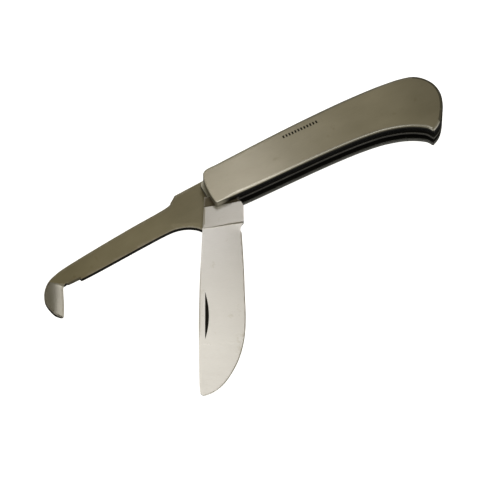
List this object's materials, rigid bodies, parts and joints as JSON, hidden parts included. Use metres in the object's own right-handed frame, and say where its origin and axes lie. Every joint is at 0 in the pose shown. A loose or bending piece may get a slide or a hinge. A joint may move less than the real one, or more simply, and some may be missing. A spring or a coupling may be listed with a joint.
{
  "type": "folding rigging knife",
  "caption": "Steel folding knife for rope and twine work, with a rounded straight-spined blade and a hooked inner-edge blade, each held by its own backspring.",
  "frame": {"origin": "on the pivot axis, at the rear scale's outer face, which the knife lies on", "axes": "+X from the pivot to the butt, +Y to the handle's spine, +Z through the thickness to the front scale"},
  "size_m": [0.1831, 0.0889, 0.0131],
  "materials": {
    "scale_steel": "satin, brushed along the handle",
    "liner_steel": "plain rolled",
    "blade_steel": "fine satin",
    "hook_steel": "satin, dull",
    "spring_steel": "satin",
    "pin_steel": "ground flush",
    "washer_bronze": "plain"
  },
  "bodies": {
    "handle": {"front_scale": "scale_steel", "rear_scale": "scale_steel", "front_liner": "liner_steel", "centre_liner": "liner_steel", "rear_liner": "liner_steel", "pivot_pin": "pin_steel", "spring_pin": "pin_steel", "butt_pin": "pin_steel", "blade_washer_front": "washer_bronze", "blade_washer_rear": "washer_bronze", "hook_washer_front": "washer_bronze", "hook_washer_rear": "washer_bronze", "front_scale_rivets": "pin_steel", "rear_scale_rivets": "pin_steel"},
    "blade_body": {"main_blade": "blade_steel"},
    "hook_body": {"hook_blade": "hook_steel"},
    "blade_spring_body": {"blade_spring": "spring_steel"},
    "hook_spring_body": {"hook_spring": "spring_steel"}
  },
  "joints": [
    {"name": "blade_pivot", "type": "hinge", "parent": "handle", "child": "blade_body", "pos_m": [0, 0, 0.0084], "axis": [0, 0, 1], "range_deg": [-58.5, 117]},
    {"name": "hook_pivot", "type": "hinge", "parent": "handle", "child": "hook_body", "pos_m": [0, 0, 0.0046], "axis": [0, 0, 1], "range_deg": [0, 171]},
    {"name": "blade_spring_lift", "type": "hinge", "parent": "handle", "child": "blade_spring_body", "pos_m": [0.0916, 0.0034, 0.0084], "axis": [0, 0, -1], "range_deg": [0, 0.8], "stiffness_Nm_per_rad": 200},
    {"name": "hook_spring_lift", "type": "hinge", "parent": "handle", "child": "hook_spring_body", "pos_m": [0.0916, 0.0034, 0.0046], "axis": [0, 0, -1], "range_deg": [0, 0.8], "stiffness_Nm_per_rad": 200}
  ]
}
